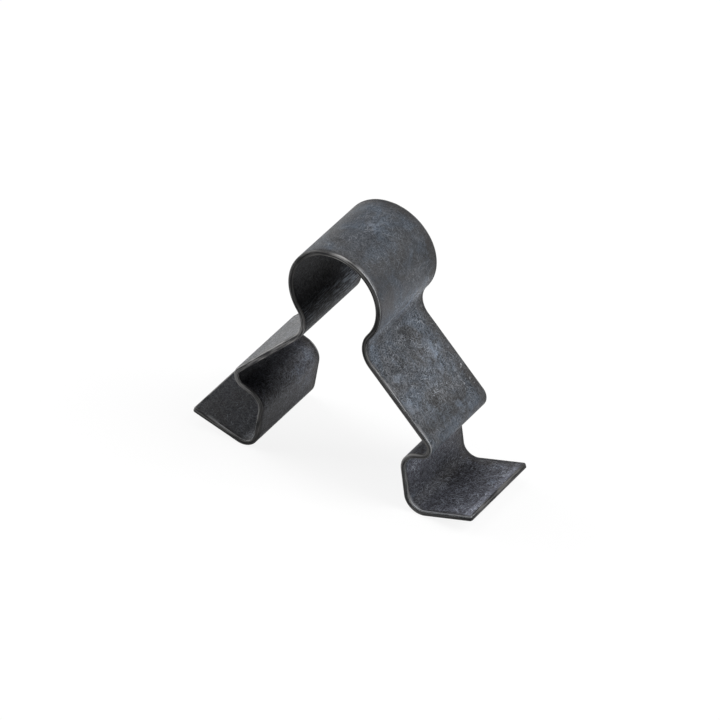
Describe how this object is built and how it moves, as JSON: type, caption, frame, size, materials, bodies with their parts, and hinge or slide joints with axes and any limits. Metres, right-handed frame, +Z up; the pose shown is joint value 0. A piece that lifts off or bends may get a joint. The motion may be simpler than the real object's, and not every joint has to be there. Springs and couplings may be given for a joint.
{
  "type": "retaining spring",
  "caption": "Retaining spring folded from one strip of spring steel: a round loop that grips a rod, sloping legs, and recesses and feet that snap into a panel slot.",
  "frame": {"origin": "on the floor under the middle of the loop, between the two heels, at the middle of the strip's width", "axes": "+X along the span from foot to foot, +Y across the strip's width and along the loop's bore, +Z up to the loop"},
  "size_m": [0.037, 0.012, 0.031],
  "materials": {
    "phosphated_spring_steel": "dark blue-grey phosphated spring steel, mottled, with rubbed edges"
  },
  "bodies": {
    "root": {"retaining_spring": "phosphated_spring_steel"}
  },
  "joints": []
}
